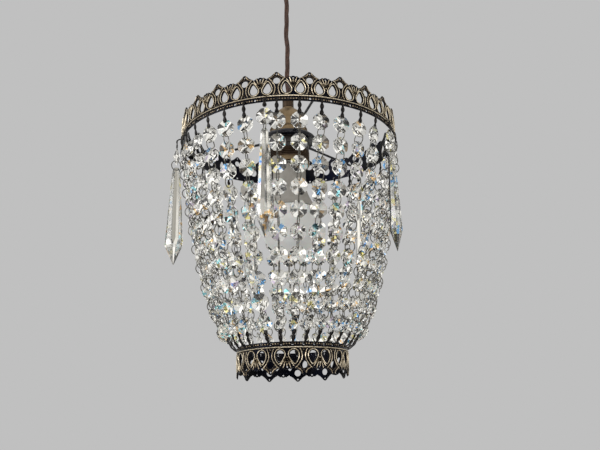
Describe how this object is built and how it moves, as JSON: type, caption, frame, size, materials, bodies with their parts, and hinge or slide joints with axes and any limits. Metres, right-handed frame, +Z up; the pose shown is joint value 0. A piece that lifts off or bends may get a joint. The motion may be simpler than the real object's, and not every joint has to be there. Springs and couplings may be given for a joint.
{
  "type": "crystal pendant light",
  "caption": "Small crystal pendant light: octagon bead strands hang in a basket between two pierced brass bands round a bulb, with pointed prism drops outside, on a short twisted flex.",
  "frame": {"origin": "centre of the ceiling rose's flat top face, where it meets the ceiling", "axes": "+Z up along the flex, -Y towards the front of the light, everything hangs in -Z"},
  "size_m": [0.2172, 0.2167, 0.4335],
  "materials": {
    "dull_brass": "aged satin",
    "antique_brass": "antique, dark in the recesses and bright on the raised lines",
    "black_iron": "black lacquer",
    "dark_pin_wire": "blackened wire",
    "black_bakelite": "moulded, satin",
    "white_ceramic": "glazed",
    "brown_braid": "braided textile",
    "cut_crystal": "cut and polished",
    "nickel_cap": "rolled nickel-plated brass",
    "grey_collar_plastic": "matt moulded",
    "opal_globe": "frosted opal"
  },
  "bodies": {
    "rose": {"ceiling_rose": "dull_brass", "rose_cord_grip": "black_iron"},
    "pendant": {"flex_cord": "brown_braid", "cord_grip": "dull_brass", "lampholder_cap": "antique_brass", "lampholder_body": "black_bakelite", "socket_insert": "white_ceramic", "spider_hub": "black_iron", "spider_arm_1": "black_iron", "spider_arm_2": "black_iron", "spider_arm_3": "black_iron", "top_band": "antique_brass", "bottom_band": "antique_brass", "crystal_strand_01": "cut_crystal", "crystal_strand_02": "cut_crystal", "crystal_strand_03": "cut_crystal", "crystal_strand_04": "cut_crystal", "crystal_strand_05": "cut_crystal", "crystal_strand_06": "cut_crystal", "crystal_strand_07": "cut_crystal", "crystal_strand_08": "cut_crystal", "crystal_strand_09": "cut_crystal", "crystal_strand_10": "cut_crystal", "crystal_strand_11": "cut_crystal", "crystal_strand_12": "cut_crystal", "crystal_strand_13": "cut_crystal", "crystal_strand_14": "cut_crystal", "crystal_strand_15": "cut_crystal", "crystal_strand_16": "cut_crystal", "crystal_strand_17": "cut_crystal", "crystal_strand_18": "cut_crystal", "crystal_strand_19": "cut_crystal", "crystal_strand_20": "cut_crystal", "crystal_strand_21": "cut_crystal", "crystal_strand_22": "cut_crystal", "crystal_strand_23": "cut_crystal", "crystal_strand_24": "cut_crystal", "crystal_strand_25": "cut_crystal", "crystal_strand_26": "cut_crystal", "crystal_strand_27": "cut_crystal", "crystal_strand_28": "cut_crystal", "crystal_strand_29": "cut_crystal", "crystal_strand_30": "cut_crystal", "crystal_strand_31": "cut_crystal", "crystal_strand_32": "cut_crystal", "prism_pin_1": "dark_pin_wire", "prism_pin_2": "dark_pin_wire", "prism_pin_3": "dark_pin_wire", "prism_pin_4": "dark_pin_wire", "prism_pin_5": "dark_pin_wire"},
    "shade_ring": {"shade_ring": "dull_brass"},
    "bulb": {"bulb_cap": "nickel_cap", "bulb_collar": "grey_collar_plastic", "bulb_globe": "opal_globe"},
    "prism_1": {"prism_drop_1": "cut_crystal"},
    "prism_2": {"prism_drop_2": "cut_crystal"},
    "prism_3": {"prism_drop_3": "cut_crystal"},
    "prism_4": {"prism_drop_4": "cut_crystal"},
    "prism_5": {"prism_drop_5": "cut_crystal"}
  },
  "joints": [
    {"name": "pendant_swing", "type": "hinge", "parent": "rose", "child": "pendant", "pos_m": [0, 0, -0.0225], "axis": [1, 0, 0], "range_deg": [-15, 15]},
    {"name": "shade_ring_turn", "type": "hinge", "parent": "pendant", "child": "shade_ring", "pos_m": [0, 0, -0.2075], "axis": [0, 0, 1], "continuous": true},
    {"name": "bulb_lower", "type": "slide", "parent": "pendant", "child": "bulb", "axis": [0, 0, -1], "range_m": [0, 0.23]},
    {"name": "prism_swing_1", "type": "hinge", "parent": "pendant", "child": "prism_1", "pos_m": [-0.01942, -0.10573, -0.2216], "axis": [-0.9835, 0.1807, 0], "range_deg": [-3, 40]},
    {"name": "prism_swing_2", "type": "hinge", "parent": "pendant", "child": "prism_2", "pos_m": [0.09058, -0.05789, -0.2216], "axis": [-0.5385, -0.8426, 0], "range_deg": [-3, 40]},
    {"name": "prism_swing_3", "type": "hinge", "parent": "pendant", "child": "prism_3", "pos_m": [0.07511, 0.07691, -0.2216], "axis": [0.7154, -0.6987, 0], "range_deg": [-3, 40]},
    {"name": "prism_swing_4", "type": "hinge", "parent": "pendant", "child": "prism_4", "pos_m": [-0.04287, 0.09858, -0.2216], "axis": [0.917, 0.3988, 0], "range_deg": [-3, 40]},
    {"name": "prism_swing_5", "type": "hinge", "parent": "pendant", "child": "prism_5", "pos_m": [-0.10524, -0.02192, -0.2216], "axis": [-0.2039, 0.979, 0], "range_deg": [-3, 40]}
  ]
}
